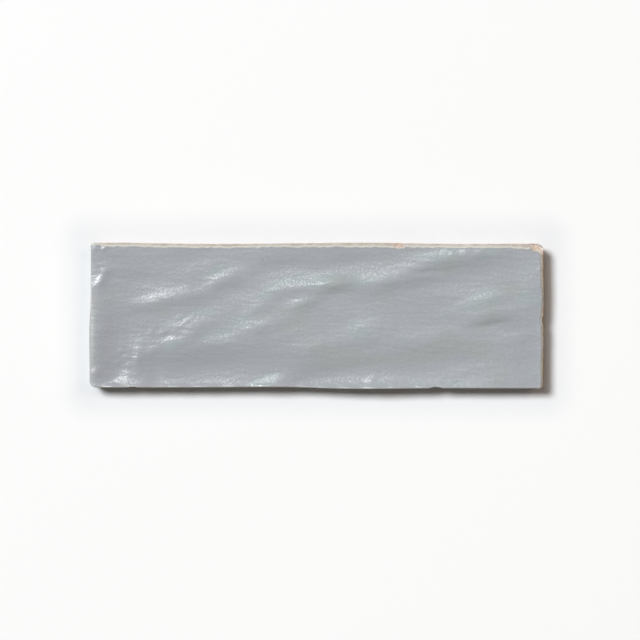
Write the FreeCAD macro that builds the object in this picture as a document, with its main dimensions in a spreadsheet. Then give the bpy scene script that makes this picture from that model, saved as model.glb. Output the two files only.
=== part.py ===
"""Glazed wall tile with a hand-pressed face, modelled as one fired piece.

The tile lies on its back. The origin is the centre of the back face, +X runs along the
length, +Y across the width and +Z out of the glazed face. All sizes are millimetres.

The blank is a loft down from the face outline to a smaller back outline, so the four
sides lean in below the face, with a chamfer all round the back. Each side wanders a
little, and each corner has its own radius.
Shallow grooves in the back key the tile to its adhesive. The face is struck off by a
free-form surface with long slanting swells, hollows between them and a low lip round
the margin.
"""

import FreeCAD, Part
import math
import os
from typing import NamedTuple

import Sketcher

PARTS_FOLDER = "parts"
TILE_NODE = "wall_tile"

# Driving dimensions, in millimetres and degrees.
SIZES = {
    "face_length": 200.0,
    "face_width": 65.0,
    "tile_thickness": 9.0,
    "back_inset": 0.7,
    "side_wander": 0.8,
    "radius_front_left": 3.0,
    "radius_front_right": 1.8,
    "radius_rear_right": 2.8,
    "radius_rear_left": 1.8,
    "face_arris": 0.5,
    "back_chamfer": 0.4,
    "swell_height": 1.15,
    "lip_height": 0.1,
    "lip_width": 3.0,
    "groove_count": 6,
    "groove_width": 4.6,
    "groove_pitch": 9.2,
    "groove_depth": 0.8,
    "groove_margin": 9.0,
    "groove_taper": 20.0,
}

# Before it is struck off, the blank stands above the mean face by this many times the
# swell and lip heights together.
STOCK_SHARE = 2
# How far the striking surface runs past the outline, so that it cuts right through.
STRIKE_OVERRUN = 4.0
# Spacing of the points that the striking surface is drawn through.
STRIKE_STEP = 3.5

# Point numbers of a curve in a sketch, and the sketch's own origin as curve and point.
START, END, CENTRE = 1, 2, 3
ORIGIN = (-1, 1)
SPLINE_DEGREE = 3
POLE_WEIGHT = 1.0
POLE_LINK = "InternalAlignment:Sketcher::BSplineControlPoint"
QUARTER_TURN = math.pi / 2
UP = FreeCAD.Vector(0, 0, 1)


class Swell(NamedTuple):
    """One raised swell, or a hollow where the height is below zero.

    along and across are shares of the tile's half length and half width, turn is in
    degrees from the length, run and spread are the swell's half sizes in millimetres,
    and height is a share of swell_height.
    """

    along: float
    across: float
    turn: float
    run: float
    spread: float
    height: float


SWELLS = (
    Swell(-0.98, -0.20, 88.0, 12.0, 4.0, 1.10),
    Swell(-0.84, -0.28, 80.0, 9.0, 4.8, -0.32),
    Swell(-0.80, 0.92, 0.0, 14.0, 3.6, 0.55),
    Swell(-0.66, 0.22, 11.0, 9.0, 2.4, 0.74),
    Swell(-0.76, 0.49, 8.0, 9.0, 2.8, -0.30),
    Swell(-0.38, 0.52, 22.0, 8.5, 2.6, 0.62),
    Swell(-0.54, 0.77, 20.0, 8.0, 3.0, -0.20),
    Swell(-0.40, 0.28, 20.0, 9.0, 3.0, -0.25),
    Swell(-0.56, -0.14, 14.0, 8.0, 2.0, 0.50),
    Swell(-0.46, -0.40, 4.0, 20.0, 3.3, 0.60),
    Swell(-0.52, -0.75, 4.0, 20.0, 4.3, -0.80),
    Swell(-0.52, -1.06, 0.0, 20.0, 2.6, 0.60),
    Swell(-0.81, -1.03, 36.0, 6.0, 2.8, 0.55),
    Swell(-0.88, -0.77, 60.0, 5.0, 3.4, -0.45),
    Swell(-0.71, -0.74, 85.0, 5.0, 3.0, -0.25),
    Swell(-0.25, -0.15, 12.0, 7.0, 2.5, 0.65),
    Swell(-0.23, 0.15, 32.0, 7.0, 2.6, 0.38),
    Swell(-0.05, 0.18, 18.0, 6.0, 2.3, 0.70),
    Swell(-0.02, 0.40, 6.0, 12.0, 2.6, 0.80),
    Swell(0.08, 0.44, 8.0, 5.0, 2.2, 0.85),
    Swell(-0.16, 0.67, 3.0, 11.0, 3.0, -0.55),
    Swell(0.14, 0.69, 6.0, 12.0, 3.0, -0.45),
    Swell(0.28, 0.46, 8.0, 8.5, 2.7, 0.84),
    Swell(0.43, 0.59, 18.0, 8.0, 2.8, 0.50),
    Swell(0.65, 0.81, 6.0, 13.0, 3.0, 1.05),
    Swell(0.60, 0.46, 10.0, 15.0, 3.6, -0.50),
    Swell(0.23, -0.19, 12.0, 8.0, 3.6, 0.66),
    Swell(0.03, -0.39, 6.0, 9.0, 2.2, 0.22),
    Swell(0.46, -0.32, 6.0, 17.0, 4.0, 0.55),
    Swell(-0.04, -0.48, 10.0, 6.0, 2.4, 0.18),
    Swell(0.06, -0.79, 7.0, 16.0, 4.4, -0.95),
    Swell(0.50, -0.68, 7.0, 18.0, 4.5, -0.50),
    Swell(0.76, 0.21, 16.0, 7.0, 2.6, 0.65),
    Swell(0.78, 0.04, 8.0, 8.0, 2.4, 0.85),
    Swell(0.81, -0.19, 6.0, 8.0, 2.6, -0.40),
    Swell(-0.18, -0.93, 24.0, 6.0, 2.6, 0.85),
    Swell(0.25, -1.04, 0.0, 22.0, 2.6, 0.80),
    Swell(0.30, -0.97, 22.0, 5.0, 2.2, 0.35),
    Swell(0.76, -0.95, 8.0, 14.0, 4.0, 0.55),
    Swell(0.97, 0.44, 70.0, 11.0, 5.2, 0.48),
    Swell(0.92, -0.62, 80.0, 8.0, 4.0, -0.15),
)


class Side(NamedTuple):
    """One side of the outline.

    normal is the axis that the side faces along, and sign is which way it faces. wander
    gives, for each pole of its curve, how far it stands in, as a share of side_wander.
    end_radius names the radius of the corner where the side ends, going anticlockwise.
    """

    normal: str
    sign: int
    wander: tuple
    end_radius: str


FRONT_WANDER = (1.0, 1.0, 1.0, 1.2, 1.4, 0.1, 0.3, 0.7, 0.5, 0.5)
RIGHT_WANDER = (0.1, 0.1, -0.3, -0.1, -0.3, -0.4, -0.1, -0.1)
REAR_WANDER = (0.9, 0.9, 1.1, 0.5, 0.2, 0.5, 0.8, 1.0, 1.0, 0.3, 0.3)
LEFT_WANDER = (0.8, 0.8, 0.8, 0.9, 0.0, 0.0, 0.15, 0.15)

# The sides in order, anticlockwise from the front one.
SIDES = (
    Side("Y", -1, FRONT_WANDER, "radius_front_right"),
    Side("X", 1, RIGHT_WANDER, "radius_rear_right"),
    Side("Y", 1, REAR_WANDER, "radius_rear_left"),
    Side("X", -1, LEFT_WANDER, "radius_front_left"),
)


class Formula:
    """A number together with the spreadsheet expression that gives it."""

    def __init__(self, value, text=None):
        self.value = value
        self.text = str(value) if text is None else text

    def join(self, sign, other, value):
        """The formula that an operator makes of this one and another."""
        right = other.text if isinstance(other, Formula) else str(other)
        return Formula(value, f"({self.text} {sign} {right})")

    def __add__(self, other):
        return self.join("+", other, self.value + number(other))

    def __sub__(self, other):
        return self.join("-", other, self.value - number(other))

    def __mul__(self, other):
        return self.join("*", other, self.value * number(other))

    def __truediv__(self, other):
        return self.join("/", other, self.value / number(other))


def number(value):
    """The plain number of a formula, or of a number."""
    return value.value if isinstance(value, Formula) else value


def size(name):
    """The formula that reads one driving dimension."""
    return Formula(SIZES[name], f"Sizes.{name}")


def make_sheet(doc):
    """Puts every driving dimension in a spreadsheet, one aliased cell each."""
    sheet = doc.addObject("Spreadsheet::Sheet", "Sizes")
    for row, (name, value) in enumerate(SIZES.items(), start=1):
        sheet.set(f"A{row}", name)
        sheet.set(f"B{row}", str(value))
        sheet.setAlias(f"B{row}", name)
    doc.recompute()
    return sheet


def origin_feature(body, role):
    """The body's own origin plane or axis that has this role."""
    return next(feature for feature in body.Origin.OriginFeatures if feature.Role == role)


def new_sketch(body, name, height=None):
    """A sketch on the body's XY plane, or raised to a height that a formula gives."""
    sketch = body.newObject("Sketcher::SketchObject", name)
    sketch.AttachmentSupport = [(origin_feature(body, "XY_Plane"), "")]
    sketch.MapMode = "FlatFace"
    if height is not None:
        sketch.setExpression("AttachmentOffset.Base.z", height.text)
    return sketch


def hold(sketch, kind, points, formula):
    """Adds a dimension to a sketch, bound to a formula."""
    index = sketch.addConstraint(Sketcher.Constraint(kind, *points, formula.value))
    sketch.setExpression(f"Constraints[{index}]", formula.text)


def hold_place(sketch, curve, point, x, y):
    """Holds a point of a sketch's curve at an X and a Y from the sketch's origin."""
    hold(sketch, "DistanceX", (*ORIGIN, curve, point), x)
    hold(sketch, "DistanceY", (*ORIGIN, curve, point), y)


def stand_out(side, pole, inset):
    """How far from the middle one pole of a side stands."""
    overall = size("face_length") if side.normal == "X" else size("face_width")
    return overall / 2 - inset - size("side_wander") * side.wander[pole]


def pole_place(index, pole, inset):
    """X and Y of one pole of a side. They are spread evenly between its two corners."""
    side = SIDES[index]
    before, after = SIDES[index - 1], SIDES[(index + 1) % len(SIDES)]
    start = (stand_out(before, -1, inset) - size(before.end_radius)) * before.sign
    end = (stand_out(after, 0, inset) - size(side.end_radius)) * after.sign
    share = pole / (len(side.wander) - 1)
    along = start * (1 - share) + end * share
    out = stand_out(side, pole, inset) * side.sign
    return (along, out) if side.normal == "Y" else (out, along)


def add_side_curve(sketch, index, inset):
    """Draws one side as a spline whose poles are held by the sheet, and numbers it."""
    places = [pole_place(index, pole, inset) for pole in range(len(SIDES[index].wander))]
    points = [FreeCAD.Vector(x.value, y.value, 0) for x, y in places]
    curve = Part.BSplineCurve()
    curve.buildFromPoles(points, False, SPLINE_DEGREE)
    spline = sketch.addGeometry(curve, False)
    # Each pole is the centre of a construction circle, whose radius stands for its weight.
    handles = [sketch.addGeometry(Part.Circle(point, UP, POLE_WEIGHT), True) for point in points]
    sketch.addConstraint(Sketcher.Constraint("Weight", handles[0], POLE_WEIGHT))
    for handle in handles[1:]:
        sketch.addConstraint(Sketcher.Constraint("Equal", handles[0], handle))
    for pole, (handle, (x, y)) in enumerate(zip(handles, places)):
        sketch.addConstraint(Sketcher.Constraint(POLE_LINK, handle, CENTRE, spline, pole))
        hold_place(sketch, handle, CENTRE, x, y)
    return spline


def add_corner(sketch, index, inset, curves):
    """Joins a side to the next one with a corner arc of its own radius."""
    last = len(SIDES[index].wander) - 1
    following = (index + 1) % len(SIDES)
    first_end = [axis.value for axis in pole_place(index, last, inset)]
    next_start = [axis.value for axis in pole_place(following, 0, inset)]
    radius = size(SIDES[index].end_radius)
    # The arc ends where the next side starts, so its centre lies square to both ends.
    if SIDES[index].normal == "Y":
        centre = FreeCAD.Vector(first_end[0], next_start[1], 0)
    else:
        centre = FreeCAD.Vector(next_start[0], first_end[1], 0)
    circle = Part.Circle(centre, UP, radius.value)
    quarter = Part.ArcOfCircle(circle, QUARTER_TURN * (index - 1), QUARTER_TURN * index)
    arc = sketch.addGeometry(quarter, False)
    sketch.addConstraint(Sketcher.Constraint("Coincident", curves[index], END, arc, START))
    sketch.addConstraint(Sketcher.Constraint("Coincident", arc, END, curves[following], START))
    hold(sketch, "Radius", (arc,), radius)


def outline_sketch(body, name, inset, height=None):
    """The tile's outline, taken in all round by an inset."""
    sketch = new_sketch(body, name, height)
    curves = [add_side_curve(sketch, index, inset) for index in range(len(SIDES))]
    for index in range(len(SIDES)):
        add_corner(sketch, index, inset, curves)
    return sketch


def lean_in(height):
    """How far the sides stand in from the face outline at a height above the back."""
    return size("back_inset") * (size("tile_thickness") - height) / size("tile_thickness")


def add_blank(body):
    """Lofts the blank from an outline above the face down to the chamfered back."""
    stock = (size("swell_height") + size("lip_height")) * STOCK_SHARE
    top = size("tile_thickness") + stock
    foot = size("back_chamfer")
    blank = body.newObject("PartDesign::AdditiveLoft", "Blank")
    blank.Profile = outline_sketch(body, "StockOutline", lean_in(top), top)
    blank.Sections = [
        outline_sketch(body, "FootOutline", lean_in(foot), foot),
        outline_sketch(body, "BackOutline", lean_in(foot) + foot),
    ]
    blank.Ruled = True
    return blank


def edge_names(shape, wanted):
    """Names of those edges of a shape that are among the wanted ones."""
    return [
        f"Edge{place}"
        for place, edge in enumerate(shape.Edges, start=1)
        if any(edge.isSame(other) for other in wanted)
    ]


def struck_surface(shape):
    """The glazed face: the largest one whose middle lies in the upper half of a shape."""
    middle = shape.BoundBox.Center.z
    upper = [face for face in shape.Faces if face.CenterOfMass.z > middle]
    return max(upper, key=lambda face: face.Area)


def add_arris(body, struck):
    """Rounds the edges all round the glazed face."""
    arris = body.newObject("PartDesign::Fillet", "FaceArris")
    arris.Base = (struck, edge_names(struck.Shape, struck_surface(struck.Shape).Edges))
    arris.setExpression("Radius", size("face_arris").text)
    return arris


def groove_sketch(body):
    """The round-ended outline of the keying groove nearest to the front side."""
    sketch = new_sketch(body, "GrooveOutline")
    radius = size("groove_width") / 2
    reach = size("face_length") / 2 - size("back_inset") - size("groove_margin") - radius
    middle = size("groove_pitch") * -1 * (size("groove_count") - 1) / 2
    low, high = middle - radius, middle + radius
    left, right = reach * -1, reach
    corners = [
        FreeCAD.Vector(x.value, y.value, 0)
        for x, y in ((left, low), (right, low), (right, high), (left, high))
    ]
    front_line = sketch.addGeometry(Part.LineSegment(corners[0], corners[1]), False)
    back_line = sketch.addGeometry(Part.LineSegment(corners[2], corners[3]), False)
    ends = []
    for end, turns in ((right, -1), (left, 1)):
        circle = Part.Circle(FreeCAD.Vector(end.value, middle.value, 0), UP, radius.value)
        half = Part.ArcOfCircle(circle, QUARTER_TURN * turns, QUARTER_TURN * (turns + 2))
        ends.append(sketch.addGeometry(half, False))
    right_end, left_end = ends
    for first, second in (
        (front_line, right_end),
        (right_end, back_line),
        (back_line, left_end),
        (left_end, front_line),
    ):
        sketch.addConstraint(Sketcher.Constraint("Tangent", first, END, second, START))
    for arc, end in ((right_end, right), (left_end, left)):
        hold(sketch, "Radius", (arc,), radius)
        hold_place(sketch, arc, CENTRE, end, middle)
    return sketch


def add_grooves(body):
    """Cuts the keying grooves into the back, with flanks that lean open."""
    groove = body.newObject("PartDesign::Pocket", "Groove")
    groove.Profile = groove_sketch(body)
    groove.Reversed = True
    groove.setExpression("Length", size("groove_depth").text)
    groove.setExpression("TaperAngle", (size("groove_taper") * -1).text)
    body.Document.recompute()
    grooves = body.newObject("PartDesign::LinearPattern", "Grooves")
    grooves.Originals = [groove]
    grooves.Direction = (origin_feature(body, "Y_Axis"), [""])
    grooves.Mode = "Spacing"
    grooves.setExpression("Offset", size("groove_pitch").text)
    grooves.setExpression("Occurrences", size("groove_count").text)
    body.Tip = grooves
    return grooves


def swell_rise(swell, x, y, sheet):
    """How far one swell lifts the face at a point of it."""
    turn = math.radians(swell.turn)
    east = x - swell.along * sheet.face_length / 2
    north = y - swell.across * sheet.face_width / 2
    run = (east * math.cos(turn) + north * math.sin(turn)) / swell.run
    spread = (north * math.cos(turn) - east * math.sin(turn)) / swell.spread
    return sheet.swell_height * swell.height * math.exp(-(run**2 + spread**2) / 2)


def lip_rise(distance, sheet):
    """How far the margin's lip lifts the face at a distance from a side."""
    return sheet.lip_height * math.exp(-((distance / sheet.lip_width) ** 2))


def face_height(x, y, sheet):
    """Height of the glazed face above the back at a point."""
    swells = sum(swell_rise(swell, x, y, sheet) for swell in SWELLS)
    end_lip = lip_rise(sheet.face_length / 2 - abs(x), sheet)
    side_lip = lip_rise(sheet.face_width / 2 - abs(y), sheet)
    return sheet.tile_thickness + swells + end_lip + side_lip


def striking_surface(sheet):
    """The free-form surface that the face follows, run out past the outline."""
    reach_x = sheet.face_length / 2 + STRIKE_OVERRUN
    reach_y = sheet.face_width / 2 + STRIKE_OVERRUN
    count_x = math.ceil(2 * reach_x / STRIKE_STEP)
    count_y = math.ceil(2 * reach_y / STRIKE_STEP)
    step_x, step_y = 2 * reach_x / count_x, 2 * reach_y / count_y
    columns = [column * step_x - reach_x for column in range(count_x + 1)]
    rows = [row * step_y - reach_y for row in range(count_y + 1)]
    heights = [[face_height(x, y, sheet) for y in rows] for x in columns]
    surface = Part.BSplineSurface()
    surface.interpolate(heights, -reach_x, step_x, -reach_y, step_y)
    return surface


def strike_face(body, sheet):
    """Strikes the blank off along the free-form surface."""
    doc = body.Document
    waste = doc.addObject("Part::Feature", "StruckOffWaste")
    headroom = STOCK_SHARE * (sheet.swell_height + sheet.lip_height) + STRIKE_OVERRUN
    waste.Shape = striking_surface(sheet).toShape().extrude(FreeCAD.Vector(0, 0, headroom))
    tool = doc.addObject("PartDesign::Body", "StrikingTool")
    tool.BaseFeature = waste
    doc.recompute()
    struck = body.newObject("PartDesign::Boolean", "StruckFace")
    struck.Type = "Cut"
    struck.addObject(tool)
    body.Tip = struck
    return struck


def check_document(doc, body):
    """Stops the script if any object failed, or if the tile isn't one sound solid."""
    for item in doc.Objects:
        if "Invalid" in item.State or "Error" in item.State:
            raise RuntimeError(f"{item.Label} did not compute: {item.State}")
    shape = body.Shape
    if shape.isNull() or not shape.isValid():
        raise RuntimeError(f"{body.Label} has no valid shape")
    if len(shape.Solids) != 1:
        raise RuntimeError(f"{body.Label} is {len(shape.Solids)} solids instead of one")


def check_removed(before, after):
    """Stops the script if a cut took no material away."""
    if after.Shape.Volume >= before.Shape.Volume:
        raise RuntimeError(f"{after.Label} removed nothing from {before.Label}")


def main():
    """Builds the tile, checks it and writes it."""
    doc = FreeCAD.newDocument("WallTile")
    sheet = make_sheet(doc)
    body = doc.addObject("PartDesign::Body", "PressedTile")
    body.Label = TILE_NODE
    blank = add_blank(body)
    grooves = add_grooves(body)
    doc.recompute()
    check_removed(blank, grooves)
    struck = strike_face(body, sheet)
    doc.recompute()
    check_removed(grooves, struck)
    arris = add_arris(body, struck)
    doc.recompute()
    check_removed(struck, arris)
    check_document(doc, body)
    os.makedirs(PARTS_FOLDER, exist_ok=True)
    body.Shape.exportStep(f"{PARTS_FOLDER}/{TILE_NODE}.step")
    box = body.Shape.optimalBoundingBox(True, False)
    print(f"{TILE_NODE}: {body.Shape.Volume:.0f} cubic mm in {len(body.Shape.Faces)} faces")
    print(f"{TILE_NODE}: {box.XLength:.2f} x {box.YLength:.2f} x {box.ZLength:.2f} mm")


main()
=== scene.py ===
"""Looks of a hand-pressed wall tile: gloss glaze over a bare biscuit body, lying on a pale floor.

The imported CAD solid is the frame. One detailed piece stands for it. Its outline, sides,
arrises, grooves and swells repeat the solid's own sizes, and it adds what the solid leaves
out: fine ripples, the rolled edge of the glaze, bare margins, nicks and a chipped corner.
Lengths are millimetres until they are written into a mesh.
"""

import logging
import math
from dataclasses import dataclass, field
from enum import Enum
from functools import cached_property
from typing import Optional, Union

import bpy
import numpy as np
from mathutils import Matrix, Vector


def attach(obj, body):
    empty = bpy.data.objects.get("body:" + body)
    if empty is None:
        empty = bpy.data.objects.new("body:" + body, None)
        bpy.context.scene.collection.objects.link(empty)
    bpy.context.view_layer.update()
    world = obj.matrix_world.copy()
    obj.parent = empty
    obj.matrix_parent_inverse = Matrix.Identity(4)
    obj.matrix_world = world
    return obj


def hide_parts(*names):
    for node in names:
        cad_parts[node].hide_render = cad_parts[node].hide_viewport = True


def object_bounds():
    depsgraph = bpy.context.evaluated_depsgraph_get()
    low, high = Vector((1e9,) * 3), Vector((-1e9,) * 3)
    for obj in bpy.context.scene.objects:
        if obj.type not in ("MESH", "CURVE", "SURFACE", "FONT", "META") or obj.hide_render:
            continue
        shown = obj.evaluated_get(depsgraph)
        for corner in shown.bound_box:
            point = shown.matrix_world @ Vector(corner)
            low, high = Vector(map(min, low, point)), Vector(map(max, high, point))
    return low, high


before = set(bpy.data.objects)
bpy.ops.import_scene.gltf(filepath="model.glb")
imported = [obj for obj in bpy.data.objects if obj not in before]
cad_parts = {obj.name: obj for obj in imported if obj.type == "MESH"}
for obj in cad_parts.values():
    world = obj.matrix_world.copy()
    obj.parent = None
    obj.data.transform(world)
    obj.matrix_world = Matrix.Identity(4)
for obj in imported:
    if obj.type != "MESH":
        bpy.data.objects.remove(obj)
CAD_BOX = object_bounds()

TILE_NODE = "wall_tile"
ROOT_BODY = "root"
BARE_GROUP = "bare_sides"
# A millimetre in metres, and a distance in millimetres that is too small to see.
MM = 0.001
HAIR = 0.01

# A range has a low and a high end. A table has rows of a place and its value.
Array = np.ndarray
Colour = tuple[float, float, float]
Piece = bpy.types.Object
Range = tuple[float, float]
Socket = bpy.types.NodeSocket
Table = tuple[tuple[float, float], ...]
Waves = tuple[tuple[float, float, float], ...]
log = logging.getLogger("wall_tile")


class Mark(Enum):
    """The numbers that the mesh carries for its finish, by their attributes' names."""

    MARGIN = "glaze_margin"
    POOL = "glaze_pool"
    SETTLED = "glaze_settled"
    # Thin glaze on the flanks that face the key lamp, where the teal tint is partly a painted sheen.
    DRAINED_LIT_FLANK = "glaze_drained_lit_flank"
    # Thin glaze over the left edge, and on the front rim partly a painted highlight.
    THIN = "glaze_thin_and_lit_rim"
    ROLLED = "glaze_rolled"
    # Painted shade that darkens the clay at the right rim and low on the sides.
    PAINTED_SHADE = "clay_painted_shade"
    FRESH = "clay_fresh"


def smooth_step(low: float, high: float, value: Array) -> Array:
    """A smooth climb from 0 at low to 1 at high."""
    share = np.clip((value - low) / (high - low), 0, 1)
    return share * share * (3 - 2 * share)


def bell(away: Array, width: float) -> Array:
    """A smooth hump: 1 at zero, about a third at the width on either side."""
    return np.exp(-((away / width) ** 2))


def look_up(table: Table, along: Array) -> Array:
    """Reads a table of places and values, straight from one place to the next."""
    places, values = np.array(table).T
    return np.interp(along, places, values)


def rolling(along: Array, waves: Waves) -> Array:
    """The sum of some sine waves, each given by its length over 2 pi, height and start."""
    return sum(height * np.sin(along / length + start) for length, height, start in waves)


def ragged(along: Array, waves: Waves) -> Array:
    """The sum of some waves that sway, each given by both lengths over 2 pi and the sway."""
    return sum(np.sin(along / length + sway * np.sin(along / slow)) for length, slow, sway in waves)


def in_oval(x: Array, y: Array, turn: float, run: float, spread: float) -> tuple[Array, Array]:
    """Offsets from an oval's middle, as shares of its half sizes.

    Args:
        x: the offsets along X.
        y: the offsets along Y.
        turn: the oval's heading in degrees from X.
        run: its half length.
        spread: its half width.

    Returns:
        The shares along the oval and across it.
    """
    heading = math.radians(turn)
    along = (x * math.cos(heading) + y * math.sin(heading)) / run
    across = (y * math.cos(heading) - x * math.sin(heading)) / spread
    return along, across


def clamped_spline(poles: Array, count: int = 400, degree: int = 3) -> Array:
    """Draws the B-spline that starts at its first pole and ends at its last.

    Args:
        poles: one row of coordinates a pole.
        count: how many points are drawn.
        degree: the spline's degree.

    Returns:
        One row of coordinates a point.
    """
    spans = len(poles) - degree
    knots = np.concatenate([np.zeros(degree), np.arange(spans + 1), np.full(degree, spans)])
    # The end itself lies in no span, so the last point stops a hair short of it.
    at = np.linspace(0, spans * (1 - 1e-9), count)
    shares = [((low <= at) & (at < high)).astype(float) for low, high in zip(knots, knots[1:])]
    for order in range(1, degree + 1):
        blended = []
        for place in range(len(shares) - 1):
            rise = knots[place + order] - knots[place]
            fall = knots[place + order + 1] - knots[place + 1]
            part = np.zeros(count)
            if rise > 0:
                part += (at - knots[place]) / rise * shares[place]
            if fall > 0:
                part += (knots[place + order + 1] - at) / fall * shares[place + 1]
            blended.append(part)
        shares = blended
    return np.array(shares).T @ poles


class Side(Enum):
    """The tile's sides: the axis that each faces along (0 is X, 1 is Y) and which way."""

    FRONT = (1, -1)
    RIGHT = (0, 1)
    REAR = (1, 1)
    LEFT = (0, -1)


@dataclass
class Outline:
    """The face's outline: a rectangle whose sides wander and whose corners differ.

    wander gives how far the poles of each side's curve stand in, as shares of
    wander_depth, going anticlockwise. corner_radii goes by the signs of X and Y.
    """

    length: float = 200.0
    width: float = 65.0
    wander_depth: float = 0.8
    wander: dict[Side, tuple[float, ...]] = field(
        default_factory=lambda: {
            Side.FRONT: (1.0, 1.0, 1.0, 1.2, 1.4, 0.1, 0.3, 0.7, 0.5, 0.5),
            Side.RIGHT: (0.1, 0.1, -0.3, -0.1, -0.3, -0.4, -0.1, -0.1),
            Side.REAR: (0.9, 0.9, 1.1, 0.5, 0.2, 0.5, 0.8, 1.0, 1.0, 0.3, 0.3),
            Side.LEFT: (0.8, 0.8, 0.8, 0.9, 0.0, 0.0, 0.15, 0.15),
        }
    )
    corner_radii: dict[tuple[int, int], float] = field(
        default_factory=lambda: {(-1, -1): 3.0, (1, -1): 1.8, (1, 1): 2.8, (-1, 1): 1.8}
    )

    def half(self, axis: int) -> float:
        """Half the nominal reach along X (0) or Y (1)."""
        return (self.length, self.width)[axis] / 2

    def stand_in(self, side: Side, along: Array) -> Array:
        """How far a side stands in from the nominal rectangle.

        Args:
            side: the side asked about.
            along: places along that side.

        Returns:
            The distance at each place.
        """
        faced, sign = side.value
        corners = [(end, sign) if faced == 1 else (sign, end) for end in (-1, 1)]
        low, high = (self.corner_radii[corner] for corner in corners)
        reach = self.half(1 - faced)
        # The front side runs towards +X and the right side towards +Y; the others run back.
        poles = self.wander[side][:: 1 if side in (Side.FRONT, Side.RIGHT) else -1]
        places = np.linspace(low - reach, reach - high, len(poles))
        curve = clamped_spline(np.column_stack([places, np.array(poles) * self.wander_depth]))
        return np.interp(along, curve[:, 0], curve[:, 1])

    def distance(self, side: Side, x: Array, y: Array) -> Array:
        """How far points lie in from a side, at the level of the face.

        Args:
            side: the side measured from.
            x: the points' X.
            y: the points' Y.

        Returns:
            The distance of each point.
        """
        faced, sign = side.value
        out, along = (x, y) if faced == 0 else (y, x)
        return self.half(faced) - self.stand_in(side, along) - out * sign

    def inward(self, x: Array, y: Array) -> Array:
        """How far points lie in from the nearest side."""
        return np.min([self.distance(side, x, y) for side in Side], axis=0)

    def fit(self, x: Array, y: Array) -> tuple[Array, Array, Array]:
        """Moves points of the nominal rectangle so that its rim becomes the outline.

        Args:
            x: the points' X.
            y: the points' Y.

        Returns:
            Their new X, their new Y and their distance in from the outline.
        """
        fitted_x, fitted_y = x.copy(), y.copy()
        inward = np.minimum(self.half(0) - abs(x), self.half(1) - abs(y))
        for (sign_x, sign_y), radius in self.corner_radii.items():
            across = (x * sign_x - self.half(0)) / radius + 1
            along = (y * sign_y - self.half(1)) / radius + 1
            inside = (across > 0) & (along > 0)
            across, along = across[inside], along[inside]
            # A square spread over a quarter disc: its two outer sides become the arc.
            round_x = across * np.sqrt(1 - along**2 / 2)
            round_y = along * np.sqrt(1 - across**2 / 2)
            fitted_x[inside] += sign_x * radius * (round_x - across)
            fitted_y[inside] += sign_y * radius * (round_y - along)
            inward[inside] = radius * (1 - np.hypot(round_x, round_y))
        left, right = (self.stand_in(side, y) for side in (Side.LEFT, Side.RIGHT))
        front, rear = (self.stand_in(side, x) for side in (Side.FRONT, Side.REAR))
        fitted_x *= 1 - np.where(x > 0, right, left) / self.half(0)
        fitted_y *= 1 - np.where(y > 0, rear, front) / self.half(1)
        return fitted_x, fitted_y, inward


@dataclass(frozen=True)
class Swell:
    """One raised swell of the face, or a hollow where its height is below zero.

    along and across are shares of the tile's half length and half width, turn is in
    degrees from the length, run and spread are half sizes in millimetres, and height is a
    share of the swells' height.
    """

    along: float
    across: float
    turn: float
    run: float
    spread: float
    height: float


def make_swells(*rows: tuple[float, ...]) -> tuple[Swell, ...]:
    """Makes a swell of each row, whose numbers are its fields in their order."""
    return tuple(Swell(*row) for row in rows)


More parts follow.
